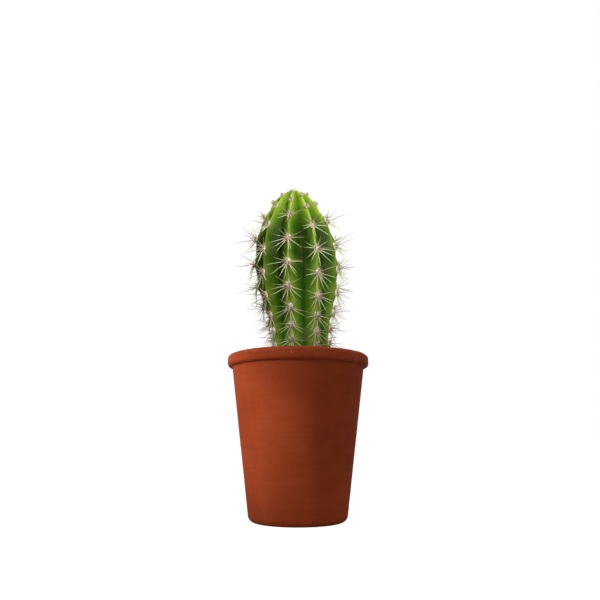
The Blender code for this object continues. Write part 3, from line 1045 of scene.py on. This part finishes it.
def lump_pattern(name, seed):
    deselect_all()
    bpy.ops.mesh.primitive_ico_sphere_add(subdivisions=2, radius=1.0)
    lump = named(name)
    points = places_of(lump)
    points *= (1 + 0.35 * rough(points, 0.8, seed))[:, None]
    set_places(lump, points)
    write_layer(lump, "tone", 0.0)
    smooth(lump, 35.0)
    return lump


def scatter(pattern, count, sizes, seed, name, material):
    """Lumps lying on the soil from the stem to the pot's wall, each turned and squashed its own way."""
    draw = random.Random(seed)
    unit = places_of(pattern)
    foot = on_stem(0.0, SOIL_MIDDLE_HEIGHT, 0.0)
    wall = inner_radius(SOIL_EDGE_HEIGHT)
    made = []
    while len(made) < count:
        angle = draw.uniform(0.0, math.tau)
        reach = math.sqrt(draw.uniform(0.0, 1.0))
        size = draw.uniform(*sizes) * MM
        radius = reach * (wall - 1.5 * size)
        x, y = radius * math.cos(angle), radius * math.sin(angle)
        if math.hypot(x - foot[0], y - foot[1]) < STEM_FOOT + 0.2 * MM + 0.5 * size:
            continue
        squash = np.array((draw.uniform(0.8, 1.3), draw.uniform(0.7, 1.1), draw.uniform(0.5, 0.85)))
        turn = Matrix.Rotation(draw.uniform(0, math.tau), 3, "Z")
        turn = turn @ Matrix.Rotation(draw.gauss(0, 0.4), 3, "X")
        level = float(soil_height(radius)) + draw.uniform(-0.25, 0.25) * size
        points = (unit * squash * size) @ np.array(turn).T + np.array((x, y, level))
        made.append(copy_of(pattern, points, tone=draw.random()))
    return finish_piece(join(made, name), "soil", material)


def make_soil_surface(finish):
    """Loose crumbs of the mix and pale grit, lying on the plug."""
    lump = lump_pattern("lump_pattern", 9.0)
    scatter(lump, 420, (0.5, 1.5), 21, "soil_crumbs", finish)
    scatter(lump, 110, (0.4, 1.1), 22, "soil_grit", mineral_grit())
    bpy.data.objects.remove(lump)


# ---------------------------------------------------------------- the set


def make_stage():
    """A plain pale floor that meets a white surround."""
    deselect_all()
    bpy.ops.mesh.primitive_plane_add(size=12.0, location=(0, 0, 0))
    floor = named("studio_floor")
    grey = (0.5, 0.5, 0.5, 1.0)
    pale = Finish("studio_white", Roughness=0.9, Base_Color=grey, Emission_Color=(1, 1, 1, 1))
    seen = pale.node("LightPath").outputs["Is Camera Ray"]
    pale.tree.links.new(pale.times(seen, 0.88), pale.shader.inputs["Emission Strength"])
    floor.data.materials.append(pale.material)


def spot_light(name, place, target, radius, cone, blend, power):
    """A lamp of a radius at a place, aimed at a target, with the cone of its beam in degrees."""
    light = bpy.data.lights.new(name, "SPOT")
    light.shadow_soft_size = radius
    light.spot_size = math.radians(cone)
    light.spot_blend = blend
    light.energy = power
    made = bpy.data.objects.new(name, light)
    bpy.context.scene.collection.objects.link(made)
    made.location = place
    made.rotation_mode = "QUATERNION"
    made.rotation_quaternion = (Vector(target) - Vector(place)).to_track_quat("-Z", "Y")


def make_light():
    """A lamp on the pot from the left, two on the plant from in front and above, and an even surround."""
    spot_light("pot_lamp", (-0.325, -0.18, 0.16), (0, 0, 0.045), 0.02, 15.2, 0.25, POT_LAMP)
    spot_light("plant_lamp", (0.20, -0.58, 0.40), (0, 0, 0.161), 0.03, 11.4, 0.25, PLANT_LAMP)
    spot_light("top_lamp", (-0.05, -0.1, 0.72), (0, 0, 0.18), 0.07, 9.0, 0.8, TOP_LAMP)
    world = bpy.data.worlds.new("studio_air")
    bpy.context.scene.world = world
    world.use_nodes = True
    back = world.node_tree.nodes["Background"]
    back.inputs["Color"].default_value = (1, 1, 1, 1)
    seen = add_node(world.node_tree, "LightPath").outputs["Is Camera Ray"]
    strength = add_node(world.node_tree, "MapRange", {"Value": seen, "To Min": SURROUND, "To Max": 1.0})
    world.node_tree.links.new(strength.outputs["Result"], back.inputs["Strength"])
    bpy.context.scene.view_settings.view_transform = "Standard"


def make_camera():
    """A low camera close in front, looking a little up at the plant."""
    lens = bpy.data.cameras.new("camera")
    lens.lens = 35.0
    lens.sensor_width = 36.0
    lens.clip_start = 0.01
    camera = bpy.data.objects.new("camera", lens)
    bpy.context.scene.collection.objects.link(camera)
    camera.location = (1.13 * MM, -333.9 * MM, 40.65 * MM)
    camera.rotation_euler = (math.radians(90.0 + 13.86), 0.0, 0.0)
    bpy.context.scene.camera = camera


def main():
    make_camera()
    make_light()
    make_stage()
    make_pot()
    stem = make_stem()
    soil_finish = damp_soil()
    make_soil(stem, soil_finish)
    make_soil_surface(soil_finish)
    patterns = {"spine": spine_pattern(), "hair": hair_pattern(), "pad": pad_pattern()}
    finishes = {"felt": areole_felt(), "hair": wool_hair(), "pale": pale_spine(), "dark": dark_spine()}
    make_areoles(patterns, finishes)
    make_crown(patterns, finishes)
    for pattern in patterns.values():
        bpy.data.objects.remove(pattern)


main()
